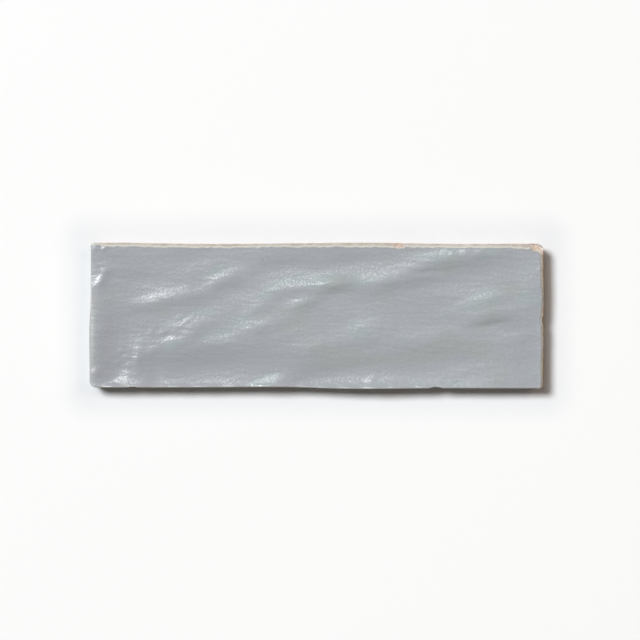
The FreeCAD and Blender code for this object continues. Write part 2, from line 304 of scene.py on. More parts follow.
# The solid's own swells.
SWELLS = make_swells(
    (-0.98, -0.20, 88.0, 12.0, 4.0, 1.10),
    (-0.84, -0.28, 80.0, 9.0, 4.8, -0.32),
    (-0.80, 0.92, 0.0, 14.0, 3.6, 0.55),
    (-0.66, 0.22, 11.0, 9.0, 2.4, 0.74),
    (-0.76, 0.49, 8.0, 9.0, 2.8, -0.30),
    (-0.38, 0.52, 22.0, 8.5, 2.6, 0.62),
    (-0.54, 0.77, 20.0, 8.0, 3.0, -0.20),
    (-0.40, 0.28, 20.0, 9.0, 3.0, -0.25),
    (-0.56, -0.14, 14.0, 8.0, 2.0, 0.50),
    (-0.46, -0.40, 4.0, 20.0, 3.3, 0.60),
    (-0.52, -0.75, 4.0, 20.0, 4.3, -0.80),
    (-0.52, -1.06, 0.0, 20.0, 2.6, 0.60),
    (-0.81, -1.03, 36.0, 6.0, 2.8, 0.55),
    (-0.88, -0.77, 60.0, 5.0, 3.4, -0.45),
    (-0.71, -0.74, 85.0, 5.0, 3.0, -0.25),
    (-0.25, -0.15, 12.0, 7.0, 2.5, 0.65),
    (-0.23, 0.15, 32.0, 7.0, 2.6, 0.38),
    (-0.05, 0.18, 18.0, 6.0, 2.3, 0.70),
    (-0.02, 0.40, 6.0, 12.0, 2.6, 0.80),
    (0.08, 0.44, 8.0, 5.0, 2.2, 0.85),
    (-0.16, 0.67, 3.0, 11.0, 3.0, -0.55),
    (0.14, 0.69, 6.0, 12.0, 3.0, -0.45),
    (0.28, 0.46, 8.0, 8.5, 2.7, 0.84),
    (0.43, 0.59, 18.0, 8.0, 2.8, 0.50),
    (0.65, 0.81, 6.0, 13.0, 3.0, 1.05),
    (0.60, 0.46, 10.0, 15.0, 3.6, -0.50),
    (0.23, -0.19, 12.0, 8.0, 3.6, 0.66),
    (0.03, -0.39, 6.0, 9.0, 2.2, 0.22),
    (0.46, -0.32, 6.0, 17.0, 4.0, 0.55),
    (-0.04, -0.48, 10.0, 6.0, 2.4, 0.18),
    (0.06, -0.79, 7.0, 16.0, 4.4, -0.95),
    (0.50, -0.68, 7.0, 18.0, 4.5, -0.50),
    (0.76, 0.21, 16.0, 7.0, 2.6, 0.65),
    (0.78, 0.04, 8.0, 8.0, 2.4, 0.85),
    (0.81, -0.19, 6.0, 8.0, 2.6, -0.40),
    (-0.18, -0.93, 24.0, 6.0, 2.6, 0.85),
    (0.25, -1.04, 0.0, 22.0, 2.6, 0.80),
    (0.30, -0.97, 22.0, 5.0, 2.2, 0.35),
    (0.76, -0.95, 8.0, 14.0, 4.0, 0.55),
    (0.97, 0.44, 70.0, 11.0, 5.2, 0.48),
    (0.92, -0.62, 80.0, 8.0, 4.0, -0.15),
)
# Small knuckles that the scene alone has. Their slopes carry the sharpest glints.
KNUCKLES = make_swells(
    (-0.55, 0.28, 14.0, 4.0, 1.8, 0.10),
    (-0.53, -0.22, 12.0, 3.5, 1.8, 0.38),
    (-0.61, -0.34, 14.0, 6.0, 1.8, 0.31),
    (-0.37, 0.48, 22.0, 5.0, 2.0, -0.12),
    (-0.945, 0.49, 60.0, 2.4, 1.6, 0.48),
    (-0.928, 0.60, 40.0, 1.1, 0.9, 0.14),
    (-0.968, -0.76, 50.0, 1.8, 1.4, 0.30),
    (-0.79, -0.60, 40.0, 1.3, 1.0, 0.14),
    (-0.727, -0.50, 20.0, 2.6, 1.4, 0.18),
    (-0.66, -0.26, 15.0, 1.9, 1.2, -0.16),
    (-0.585, -0.16, 20.0, 1.6, 1.1, -0.12),
    (-0.932, 0.912, 30.0, 1.1, 0.9, 0.20),
    (-0.972, 0.917, 30.0, 1.0, 0.8, 0.17),
    (0.72, 0.83, 4.0, 9.0, 1.6, 0.22),
    (0.58, 0.905, 20.0, 1.3, 0.9, 0.14),
    (0.60, 0.86, 40.0, 1.0, 0.8, 0.12),
    (0.665, 0.88, 0.0, 1.8, 0.8, 0.22),
    (0.725, 0.875, 10.0, 1.6, 0.8, 0.20),
    (-0.865, -0.49, 30.0, 1.4, 0.8, 0.13),
    (-0.84, -0.575, 60.0, 1.3, 0.9, 0.13),
    (-0.875, -0.63, 30.0, 1.5, 0.8, 0.13),
    (-0.825, -0.66, 70.0, 1.2, 0.9, 0.13),
    (-0.60, -0.02, 20.0, 1.6, 0.7, 0.13),
    (-0.57, -0.075, 30.0, 1.7, 0.7, 0.16),
    (-0.675, -0.235, 20.0, 1.5, 0.8, 0.15),
    (-0.725, -0.21, 60.0, 1.2, 0.8, 0.12),
    (-0.905, -1.01, 24.0, 4.5, 1.7, 0.30),
    (-0.785, -0.56, 78.0, 4.0, 1.6, 0.17),
    (-0.775, -0.94, 30.0, 3.5, 2.0, 0.14),
    (-1.01, 0.18, 90.0, 4.5, 1.6, 0.07),
    (-0.51, 0.40, 25.0, 4.0, 1.8, -0.18),
    (-0.84, -0.88, 40.0, 4.0, 2.2, 0.22),
    (-0.905, -0.945, 25.0, 2.6, 1.0, 0.16),
    (-0.79, -0.80, 50.0, 1.3, 0.8, 0.08),
    (0.49, 0.59, 5.0, 5.0, 1.1, -0.34),
    (0.765, -0.13, 8.0, 5.5, 1.1, -0.36),
    (0.24, -0.90, 50.0, 2.0, 1.2, 0.26),
    (0.34, -0.95, 40.0, 1.2, 1.0, 0.16),
    (0.66, 0.17, 10.0, 4.0, 1.6, 0.20),
)
# Broad patches where the glaze is darker than its swells and hollows give, or lighter below zero.
DARKER_PATCHES = make_swells(
    (-0.86, -0.05, 90.0, 22.0, 8.0, 1.2),
    (-0.60, -0.42, 5.0, 28.0, 5.5, 1.3),
    (0.0, 0.36, 8.0, 14.0, 5.0, -1.6),
    (-0.27, 0.08, 15.0, 12.0, 5.0, -1.1),
    (0.40, -0.86, 3.0, 24.0, 4.0, -0.9),
    (0.82, 0.80, 20.0, 12.0, 6.0, -0.8),
    (-0.52, 0.78, 5.0, 22.0, 5.0, -0.6),
)
# Where the olive part of the glaze has settled, or is missing below zero.
SETTLED = make_swells(
    (0.28, -0.60, 5.0, 22.0, 4.0, 0.30),
    (0.78, -0.05, 8.0, 10.0, 3.0, 0.22),
    (0.52, 0.57, 8.0, 9.0, 3.0, 0.22),
    (0.74, -0.46, 5.0, 14.0, 5.0, 0.22),
    (0.12, -0.86, 3.0, 20.0, 4.0, -0.40),
)


@dataclass(frozen=True)
class Ripple:
    """A field of fine waves over the face, all of about one length and heading.

    The waves run at heading degrees from X, fanned out by fan degrees. Their lengths lie
    between two shares of wavelength, called shortest and longest.
    """

    wavelength: float
    height: float
    heading: float
    fan: float
    seed: int
    waves: int = 60
    shortest: float = 0.75
    longest: float = 1.45

    def rise(self, x: Array, y: Array) -> Array:
        """Height of the field.

        Args:
            x: the points' X.
            y: the points' Y.

        Returns:
            The height at each point, whose spread about zero is the field's own height.
        """
        chance = np.random.default_rng(self.seed)
        total = np.zeros_like(x)
        for _ in range(self.waves):
            bearing = math.radians(self.heading + 90 + chance.normal(0, self.fan))
            length = self.wavelength * chance.uniform(self.shortest, self.longest)
            start = chance.uniform(0, 2 * math.pi)
            onward = x * math.cos(bearing) + y * math.sin(bearing)
            total += np.sin(2 * math.pi / length * onward + start)
        return total * self.height * math.sqrt(2 / self.waves)


@dataclass
class FaceRelief:
    """The glazed face: long swells, a low lip round the margin, knuckles and ripples.

    left_roll and front_bead give, at places along those sides, how far the left edge rolls
    down and how high a bead of glaze stands on the front edge. bead_scallop makes the bead
    uneven, and rim_calm is how far in from the sides the ripples are at their full height.
    run_off_to_lit_flank is how far, along X and Y, the glaze has run from the crests, towards the
    flanks that face the key lamp.
    """

    outline: Outline
    thickness: float = 9.0
    swell_height: float = 1.15
    lip_height: float = 0.1
    lip_width: float = 3.0
    run_off_to_lit_flank: tuple[float, float] = (3.0, -2.5)
    roll_width: float = 1.5
    left_roll: Table = (
        (-33.0, 0.15), (-24.0, 0.25), (-10.0, 0.30), (0.0, 0.12), (4.0, 0.0), (12.0, 0.0),
        (17.0, 0.20), (24.0, 0.05), (33.0, 0.12),
    )
    bead_inset: float = 0.5
    bead_spread: float = 1.05
    bead_scallop: Ripple = Ripple(wavelength=10.0, height=0.28, heading=90.0, fan=15.0, seed=31)
    front_bead: Table = (
        (-100.0, 0.08), (-92.0, 0.36), (-78.0, 0.18), (-66.0, 0.34), (-50.0, 0.32),
        (-38.0, 0.12), (-28.0, 0.22), (-10.0, 0.18), (0.0, 0.30), (22.0, 0.38), (32.0, 0.32),
        (50.0, 0.30), (60.0, 0.08), (100.0, 0.06),
    )
    rim_calm: float = 2.0
    ripples: tuple[Ripple, ...] = (
        Ripple(wavelength=8.0, height=0.03, heading=-2.0, fan=9.0, seed=4),
        Ripple(wavelength=2.8, height=0.016, heading=-9.0, fan=13.0, seed=11),
        Ripple(wavelength=1.6, height=0.008, heading=-12.0, fan=20.0, seed=23),
    )

    def rise(self, swells: tuple[Swell, ...], x: Array, y: Array) -> Array:
        """Height of some swells together, as a share of the swells' height.

        Args:
            swells: the swells.
            x: the points' X.
            y: the points' Y.

        Returns:
            The share at each point.
        """
        total = np.zeros_like(x)
        for swell in swells:
            east = x - swell.along * self.outline.half(0)
            north = y - swell.across * self.outline.half(1)
            run, spread = in_oval(east, north, swell.turn, swell.run, swell.spread)
            total += swell.height * np.exp(-(run**2 + spread**2) / 2)
        return total

    def drained_lit_flank(self, x: Array, y: Array) -> Array:
        """How high the crest stands that the glaze has run off from, towards these points, which are
        the flanks that face the key lamp.
        """
        return self.rise(SWELLS, x + self.run_off_to_lit_flank[0], y + self.run_off_to_lit_flank[1])

    def height(self, x: Array, y: Array) -> Array:
        """Height of the face above the back, before the arris rounds the rim off.

        Args:
            x: the points' X.
            y: the points' Y.

        Returns:
            The height at each point.
        """
        total = self.thickness + self.swell_height * self.rise(SWELLS + KNUCKLES, x, y)
        for axis, place in enumerate((x, y)):
            total += self.lip_height * bell(self.outline.half(axis) - abs(place), self.lip_width)
        bead = look_up(self.front_bead, x) * (1 + self.bead_scallop.rise(x, y))
        inward = self.outline.distance(Side.FRONT, x, y) - self.bead_inset
        total += bead * bell(inward, self.bead_spread)
        inward = self.outline.distance(Side.LEFT, x, y)
        total -= look_up(self.left_roll, y) * bell(inward, self.roll_width)
        calm = smooth_step(0, self.rim_calm, self.outline.inward(x, y))
        for ripple in self.ripples:
            total += ripple.rise(x, y) * calm
        return total


@dataclass(frozen=True)
class Chip:
    """A flake lost from the face: an oval with a ragged rim, deepest in its middle."""

    x: float
    y: float
    run: float
    spread: float
    turn: float
    depth: float
    raggedness: float = 0.12
    lobes: int = 5
    phase: float = 1.0

    def reach(self, x: Array, y: Array) -> Array:
        """How far points lie from the chip's middle.

        Args:
            x: the points' X.
            y: the points' Y.

        Returns:
            The distance of each point, as a share of the distance of the rim.
        """
        run, spread = in_oval(x - self.x, y - self.y, self.turn, self.run, self.spread)
        bearing = np.arctan2(spread, run)
        return np.hypot(run, spread) + self.raggedness * np.sin(self.lobes * bearing + self.phase)

    def margin(self, x: Array, y: Array) -> Array:
        """How far outside the chip points lie, in millimetres."""
        return (self.reach(x, y) - 1) * self.spread


@dataclass(frozen=True)
class Nick:
    """A small bite out of one side's upper edge.

    It runs out at foot above the back, and is whole from shoulder below the face. In from
    the side it has faded away at lead plus some depths, as many as fade says.
    """

    side: Side
    at: float
    width: float
    depth: float
    foot: float = 4.0
    shoulder: float = 1.0
    lead: float = 1.0
    fade: float = 3.0


@dataclass
class GlazeEdge:
    """Where the glaze ends: short of the rear and right sides, and down the other two.

    rear_strip and right_strip give the width of bare biscuit along those sides, and the
    waves make the glaze's edge wander there and at its foot, down the front and left sides.
    left_thinning says how far the glaze has thinned at places along the left side, and
    thin_width and thin_and_lit_rim how far in that goes from the left and the front. The
    ranges are those over which fresh clay and painted shade come or go, at a rim and down
    the sides.
    """

    outline: Outline
    rear_strip: Table = (
        (-100.0, 0.6), (-96.0, 1.0), (-93.0, 1.9), (-84.0, 1.4), (-74.0, 1.9), (-60.0, 1.7),
        (-45.0, 1.8), (-20.0, 1.6), (10.0, 1.9), (34.0, 2.1), (45.0, 1.7), (62.0, 1.9),
        (78.0, 1.8), (93.0, 2.3), (100.0, 2.2),
    )
    right_strip: Table = (
        (-33.0, 0.7), (-20.0, 1.0), (-5.0, 0.8), (-2.0, 1.6), (1.5, 0.9), (9.0, 0.8),
        (16.0, 1.1), (23.0, 1.3), (33.0, 1.5),
    )
    wobble: float = 0.12
    rear_waves: Waves = ((2.3, 5.1, 1.0), (0.9, 3.7, 2.0))
    right_waves: Waves = ((1.9, 4.3, 1.0),)
    foot: float = 5.2
    foot_wobble: float = 0.7
    foot_waves: Waves = ((7.7, 1.0, 1.3), (2.9, 0.6, 0.0), (1.1, 0.3, 0.0))
    left_thinning: Table = (
        (-33.0, 0.3), (-26.0, 0.6), (-15.0, 0.9), (-4.0, 0.8), (4.0, 0.4), (33.0, 0.2),
    )
    thin_width: float = 2.6
    # The front rim's lighter band is partly thin glaze and partly a painted highlight.
    thin_and_lit_rim: float = 0.9
    chips: tuple[Chip, ...] = (
        Chip(x=97.0, y=30.3, run=4.7, spread=2.0, turn=-32.0, depth=0.8),
        Chip(x=36.2, y=30.9, run=2.5, spread=1.3, turn=-6.0, depth=0.15),
    )
    fresh_rim: Range = (0.7, 1.15)
    fresh_foot: Range = (6.4, 7.8)
    # Painted shade reaches in from the right side and up from the foot over these ranges.
    painted_shade_rim: Range = (0.5, 1.6)
    painted_shade_rim_share: float = 0.85
    painted_shade_foot: Range = (5.2, 8.4)
    painted_shade_waves: Waves = ((6.1, 1.0, 0.0), (2.3, 0.7, 0.9))

    def margin(self, x: Array, y: Array, z: Array) -> Array:
        """How far points lie inside the glaze.

        Args:
            x: the points' X.
            y: the points' Y.
            z: the points' height above the back.

        Returns:
            The distance from the glaze's edge, below zero on bare biscuit.
        """
        rear_width = look_up(self.rear_strip, x) + self.wobble * ragged(x, self.rear_waves)
        right_width = look_up(self.right_strip, y) + self.wobble * ragged(y, self.right_waves)
        foot = self.foot + self.foot_wobble * rolling(x + y, self.foot_waves)
        margins = [
            self.outline.distance(Side.REAR, x, y) - rear_width,
            self.outline.distance(Side.RIGHT, x, y) - right_width,
            z - foot,
        ]
        margins += [chip.margin(x, y) for chip in self.chips]
        return np.min(margins, axis=0)

    def rolled(self, x: Array, y: Array) -> Array:
        """How far the glaze has run thin and dull over the rolled left edge."""
        left = np.maximum(self.outline.distance(Side.LEFT, x, y), 0)
        return look_up(self.left_thinning, y) * bell(left, self.thin_width)

    def thinning_and_lit_rim(self, x: Array, y: Array) -> Array:
        """How far the glaze has run thin over the rolled left edge and the front rim; on the front
        rim this is partly a painted highlight that lifts the rim's shade.
        """
        front = np.maximum(self.outline.distance(Side.FRONT, x, y), 0)
        return np.maximum(self.rolled(x, y), bell(front, self.thin_and_lit_rim))

    def fresh(self, x: Array, y: Array, z: Array) -> Array:
        """How far points lie on clay that a chip laid open.

        Args:
            x: the points' X.
            y: the points' Y.
            z: the points' height above the back.

        Returns:
            1 inside a chip and 0 away from all of them or further down the sides.
        """
        reach = np.min([chip.reach(x, y) for chip in self.chips], axis=0)
        return (1 - smooth_step(*self.fresh_rim, reach)) * smooth_step(*self.fresh_foot, z)

    def painted_shade(self, x: Array, y: Array, z: Array) -> Array:
        """How far painted shade darkens the clay: the right side, which faces away from the key
        lamp, and low down the sides.

        Args:
            x: the points' X.
            y: the points' Y.
            z: the points' height above the back.

        Returns:
            1 low on the sides, less along the right rim and about 0 along the rear strip.
        """
        right = 1 - smooth_step(*self.painted_shade_rim, self.outline.distance(Side.RIGHT, x, y))
        level = z + self.foot_wobble * rolling(x + y, self.painted_shade_waves)
        return np.maximum(right * self.painted_shade_rim_share, 1 - smooth_step(*self.painted_shade_foot, level))


def select_only(piece: Piece) -> None:
    """Selects one object alone and makes it the active one.

    Args:
        piece: the object.
    """
    bpy.ops.object.select_all(action="DESELECT")
    piece.select_set(True)
    bpy.context.view_layer.objects.active = piece


def apply_modifier(piece: Piece, kind: str, **settings: object) -> None:
    """Adds a modifier with its settings and applies it.

    Args:
        piece: the object that is changed.
        kind: the modifier's type.
        **settings: the modifier's properties by name.
    """
    select_only(piece)
    modifier = piece.modifiers.new(kind.title(), kind)
    for name, value in settings.items():
        setattr(modifier, name, value)
    bpy.ops.object.modifier_apply(modifier=modifier.name)


def read_vertices(piece: Piece, name: str, unit: float = 1.0) -> Array:
    """Reads a vector of every vertex of a mesh.

    Args:
        piece: the mesh object.
        name: the vertex property, such as "co" or "normal".
        unit: what one unit of the result is in the mesh.

    Returns:
        One row of X, Y and Z a vertex.
    """
    flat = np.empty(len(piece.data.vertices) * 3, np.float32)
    piece.data.vertices.foreach_get(name, flat)
    return flat.reshape(-1, 3).astype(float) / unit


def write_places(piece: Piece, places: Array) -> None:
    """Moves every vertex of a mesh to its place in millimetres."""
    piece.data.vertices.foreach_set("co", (places * MM).astype(np.float32).ravel())
    piece.data.update()


def write_mark(piece: Piece, mark: Mark, values: Array) -> None:
    """Stores one number a vertex where materials can read it."""
    attribute = piece.data.attributes.new(mark.value, "FLOAT", "POINT")
    attribute.data.foreach_set("value", values.astype(np.float32))


@dataclass
class KeyingGrooves:
    """The shallow grooves in the back that key the tile to its adhesive.

    reach is how far they go from the middle, and taper is the lean of their flanks in
    degrees. The cutter starts below the back. segments counts the sides of its two round
    ends together.
    """

    count: int = 6
    width: float = 4.6
    pitch: float = 9.2
    depth: float = 0.8
    reach: float = 88.0
    taper: float = 20.0
    below: float = 0.4
    segments: int = 40

    def cutter(self) -> Piece:
        """Builds the solid that cuts all the grooves: one slot with open flanks, repeated.

        Returns:
            The cutter, as one object.
        """
        lean = math.tan(math.radians(self.taper))
        low_radius = self.width / 2 + self.below * lean
        high_radius = self.width / 2 - self.depth * lean
        first = -self.pitch * (self.count - 1) / 2
        bpy.ops.object.select_all(action="DESELECT")
        bpy.ops.mesh.primitive_circle_add(
            vertices=self.segments,
            radius=low_radius * MM,
            fill_type="NGON",
            location=(0, first * MM, -self.below * MM),
        )
        cutter = bpy.context.object
        bpy.ops.object.transform_apply(location=True, rotation=False, scale=False)
        bpy.ops.object.mode_set(mode="EDIT")
        bpy.ops.mesh.select_all(action="SELECT")
        bpy.ops.mesh.extrude_region_move(
            TRANSFORM_OT_translate={"value": (0, 0, (self.below + self.depth) * MM)}
        )
        shrink = high_radius / low_radius
        bpy.ops.transform.resize(
            value=(shrink, shrink, 1), center_override=(0, first * MM, self.depth * MM)
        )
        straight = self.reach - self.width / 2
        for sign in (-1, 1):
            self._select_half(cutter, sign)
            bpy.ops.transform.translate(value=(sign * straight * MM, 0, 0))
        bpy.ops.mesh.select_all(action="SELECT")
        bpy.ops.mesh.normals_make_consistent(inside=False)
        bpy.ops.object.mode_set(mode="OBJECT")
        apply_modifier(
            cutter,
            "ARRAY",
            count=self.count,
            use_relative_offset=False,
            use_constant_offset=True,
            constant_offset_displace=(0, self.pitch * MM, 0),
        )
        return cutter

    @staticmethod
    def _select_half(cutter: Piece, sign: int) -> None:
        """Selects the vertices of the cutter on one side of its middle.

        Args:
            cutter: the cutter, in edit mode.
            sign: 1 for the side towards +X, -1 for the other.
        """
        bpy.ops.object.mode_set(mode="OBJECT")
        for part in (cutter.data.vertices, cutter.data.edges, cutter.data.polygons):
            part.foreach_set("select", [False] * len(part))
        for vertex in cutter.data.vertices:
            vertex.select = vertex.co.x * sign > HAIR * MM
        bpy.ops.object.mode_set(mode="EDIT")
        bpy.ops.mesh.select_mode(type="VERT")


@dataclass(frozen=True)
class Skin:
    """One layer of the clay's uneven skin: the size of its lumps and their height."""

    name: str
    size: float
    height: float


@dataclass
class PressedTile:
    """The whole fired tile: glazed face, arrises, leaning sides and grooved back.

    The face's grid has cells of margin_cell within end_margin of its ends and side_margin
    of its long sides, and of cell inside, with arris_steps on the rounded rim. side_rings
    go down the sides. Bare biscuit lies bare_depth below the glaze, whose edge carries a
    bead. Its skins move it out and in, and leave it alone where their texture is at
    skin_level. Both set in over the heights of foot_fade, so that the back stays flat.
    Edges sharper than crease degrees are shaded as edges.
    """

    name: str = "pressed_tile"
    outline: Outline = field(default_factory=Outline)
    back_inset: float = 0.7
    face_arris: float = 0.5
    back_chamfer: float = 0.4
    arris_steps: int = 5
    side_rings: int = 11
    cell: float = 0.47
    margin_cell: float = 0.28
    end_margin: float = 6.5
    side_margin: float = 3.8
    bare_depth: float = 0.26
    bare_edge: Range = (-0.35, 0.1)
    bead_height: float = 0.04
    bead_inset: float = 0.45
    bead_width: float = 0.35
    foot_fade: Range = (0.2, 0.9)
    skin_edge: Range = (-0.6, 0.4)
    skin_level: float = 0.62
    skins: tuple[Skin, ...] = (
        Skin("clay_lumps", size=3.2, height=0.22),
        Skin("clay_grain", size=0.9, height=0.09),
    )
    nicks: tuple[Nick, ...] = (
        Nick(Side.FRONT, at=52.8, width=2.2, depth=0.5),
        Nick(Side.FRONT, at=-80.8, width=1.8, depth=0.3),
        Nick(Side.RIGHT, at=-2.0, width=1.3, depth=0.5),
    )
    crease: float = 35.0

    def __post_init__(self) -> None:
        """Makes the relief and the glaze's edge on this tile's outline."""
        self.relief = FaceRelief(self.outline)
        self.edge = GlazeEdge(self.outline)

    def build(self) -> Piece:
        """Builds the tile's mesh.

        Returns:
            The tile, at the origin with its place in its mesh.
        """
        tile = self._lay_face()
        self._draw_sides(tile)
        self._cut_grooves(tile)
        self._bite_nicks(tile)
        self._roughen_body(tile)
        self._lower_bare_places(tile)
        self._mark(tile)
        self._settle(tile)
        select_only(tile)
        bpy.ops.object.shade_smooth_by_angle(angle=math.radians(self.crease))
        return tile

    def _stations(self, axis: int, margin: float) -> Array:
        """Places of the face's grid lines along one axis: fine at the rim, even inside.

        Args:
            axis: 0 for X, 1 for Y.
            margin: how far in from each side the fine lines go.

        Returns:
            The places, from the low side to the high one.
        """
        overall = 2 * self.outline.half(axis)
        turned = np.linspace(0, math.pi / 2, self.arris_steps + 1)
        rolled = self.face_arris * (1 - np.cos(turned))
        fine = round((margin - self.face_arris) / self.margin_cell)
        bordering = np.linspace(self.face_arris, margin, fine + 1)[1:]
        near = np.concatenate([rolled, bordering])
        even = round((overall - 2 * margin) / self.cell)
        inner = np.linspace(margin, overall - margin, even + 1)[1:-1]
        return np.concatenate([near, inner, overall - near[::-1]]) - overall / 2

    def _lay_face(self) -> Piece:
        """Lays a grid over the face and presses it to the outline, arris and relief.

        Returns:
            The face, as an open sheet.
        """
        columns = self._stations(0, self.end_margin)
        rows = self._stations(1, self.side_margin)
        bpy.ops.object.select_all(action="DESELECT")
        bpy.ops.mesh.primitive_grid_add(
            x_subdivisions=len(columns) - 1, y_subdivisions=len(rows) - 1, size=1
        )
        tile = bpy.context.object
        tile.name = self.name
        tile.data.name = self.name
        shares = read_vertices(tile, "co") + 0.5
        column = np.rint(shares[:, 0] * (len(columns) - 1)).astype(int)
        row = np.rint(shares[:, 1] * (len(rows) - 1)).astype(int)
        x, y, inward = self.outline.fit(columns[column], rows[row])
        short = np.clip(self.face_arris - inward, 0, self.face_arris)
        drop = self.face_arris - np.sqrt(self.face_arris**2 - short**2)
        # The side leans in below the face, so the foot of the arris stands in a little.
        lean = self.back_inset * drop / self.relief.thickness
        x *= 1 - lean / self.outline.half(0)
        y *= 1 - lean / self.outline.half(1)
        height = self.relief.height(x, y) - drop
        write_places(tile, np.column_stack([x, y, height]))
        return tile

    def _rings(self) -> list[tuple[float, float]]:
        """Plans the rings of the sides, from the top down.

        Returns:
            Each ring's height above the back and its inset.
        """
        thickness = self.relief.thickness
        rim = thickness - self.face_arris
        rings = [
            (height, self.back_inset * (1 - height / thickness))
            for height in np.linspace(rim, self.back_chamfer, self.side_rings)
        ]
        rings.append((0.0, rings[-1][1] + self.back_chamfer))
        return rings

    def _draw_sides(self, tile: Piece) -> None:
        """Draws the face's rim down in rings that lean in, chamfers the foot and closes it.

        Args:
            tile: the face, as an open sheet.
        """
        select_only(tile)
        bpy.ops.object.mode_set(mode="EDIT")
        bpy.ops.mesh.select_mode(type="EDGE")
        bpy.ops.mesh.select_all(action="DESELECT")
        bpy.ops.mesh.select_non_manifold(
            extend=False,
            use_wire=False,
            use_boundary=True,
            use_multi_face=False,
            use_non_contiguous=False,
            use_verts=False,
        )
        rings = self._rings()
        for (height, inset), (next_height, next_inset) in zip(rings, rings[1:]):
            shrink = [
                (self.outline.half(axis) - next_inset) / (self.outline.half(axis) - inset)
                for axis in (0, 1)
            ]
            bpy.ops.mesh.extrude_region_move()
            bpy.ops.transform.resize(
                value=(*shrink, next_height / height), center_override=(0, 0, 0)
            )
        bpy.ops.mesh.edge_face_add()
        bpy.ops.mesh.select_all(action="SELECT")
        bpy.ops.mesh.normals_make_consistent(inside=False)
        bpy.ops.object.mode_set(mode="OBJECT")

    def _cut_grooves(self, tile: Piece) -> None:
        """Cuts the keying grooves into the back.

        Args:
            tile: the closed tile.
        """
        cutter = KeyingGrooves().cutter()
        apply_modifier(tile, "BOOLEAN", object=cutter, operation="DIFFERENCE", solver="EXACT")
        bpy.data.objects.remove(cutter)

    def _bite_nicks(self, tile: Piece) -> None:
        """Pushes the upper edge in at each nick.

        Args:
            tile: the closed tile.
        """
        places = read_vertices(tile, "co", MM)
        x, y, z = places.T
        for nick in self.nicks:
            faced, sign = nick.side.value
            along = places[:, 1 - faced]
            inward = self.outline.distance(nick.side, x, y)
            near = 1 - smooth_step(0.0, nick.fade * nick.depth + nick.lead, inward)
            upper = smooth_step(nick.foot, self.relief.thickness - nick.shoulder, z)
            bite = nick.depth * np.exp(-(((along - nick.at) / nick.width) ** 4))
            places[:, faced] -= sign * bite * near * upper
        write_places(tile, places)

    def _roughen_body(self, tile: Piece) -> None:
        """Gives the bare clay of the sides the uneven skin of pressed biscuit.

        Args:
            tile: the closed tile.
        """
        x, y, z = read_vertices(tile, "co", MM).T
        bare = 1 - smooth_step(*self.skin_edge, self.edge.margin(x, y, z))
        bare_group = tile.vertex_groups.new(name=BARE_GROUP)
        weights = bare * smooth_step(*self.foot_fade, z)
        for index in np.flatnonzero(weights > 0):
            bare_group.add([int(index)], float(weights[index]), "REPLACE")
        for skin in self.skins:
            texture = bpy.data.textures.new(skin.name, "CLOUDS")
            texture.noise_scale = skin.size * MM
            texture.noise_depth = 1
            apply_modifier(
                tile,
                "DISPLACE",
                texture=texture,
                texture_coords="LOCAL",
                strength=skin.height * MM,
                mid_level=self.skin_level,
                vertex_group=BARE_GROUP,
            )
            bpy.data.textures.remove(texture)
        tile.vertex_groups.remove(tile.vertex_groups[BARE_GROUP])

    def _lower_bare_places(self, tile: Piece) -> None:
        """Sinks bare biscuit below the glaze, whose edge stands in a small bead.

        The outline belongs to the clay at the rear and right sides, so there the biscuit
        sinks straight down only.

        Args:
            tile: the closed tile.
        """
        places = read_vertices(tile, "co", MM)
        normals = read_vertices(tile, "normal")
        x, y, z = places.T
        margin = self.edge.margin(x, y, z)
        bare = 1 - smooth_step(*self.bare_edge, margin)
        bead = bell(margin - self.bead_inset, self.bead_width)
        rise = self.bead_height * bead - self.bare_depth * bare
        for chip in self.edge.chips:
            rise -= chip.depth * np.clip(1 - chip.reach(x, y) ** 2, 0, 1)
        heading = np.clip(normals, (-1, -1, 0), (0, 0, 1))
        settled = smooth_step(*self.foot_fade, z)
        write_places(tile, places + heading * (rise * settled)[:, None])

    def _mark(self, tile: Piece) -> None:
        """Stores on the mesh what the finish reads.

        Args:
            tile: the tile in its last shape.
        """
        x, y, z = read_vertices(tile, "co", MM).T
        marks = {
            Mark.MARGIN: self.edge.margin(x, y, z),
            Mark.POOL: self.relief.rise(DARKER_PATCHES, x, y) - self.relief.rise(SWELLS, x, y),
            Mark.SETTLED: self.relief.rise(SETTLED, x, y),
            Mark.DRAINED_LIT_FLANK: self.relief.drained_lit_flank(x, y),
            Mark.THIN: self.edge.thinning_and_lit_rim(x, y),
            Mark.ROLLED: self.edge.rolled(x, y),
            Mark.PAINTED_SHADE: self.edge.painted_shade(x, y, z),
            Mark.FRESH: self.edge.fresh(x, y, z),
        }
        for mark, values in marks.items():
            write_mark(tile, mark, values)

    def _settle(self, tile: Piece) -> None:
        """Keeps every vertex inside the box of the CAD solid."""
        low, high = (np.array(corner) / MM for corner in CAD_BOX)
        write_places(tile, np.clip(read_vertices(tile, "co", MM), low, high))

    def dress(self, tile: Piece) -> None:
        """Gives the tile its finish."""
        tile.data.materials.clear()
        tile.data.materials.append(TileFinish().material())


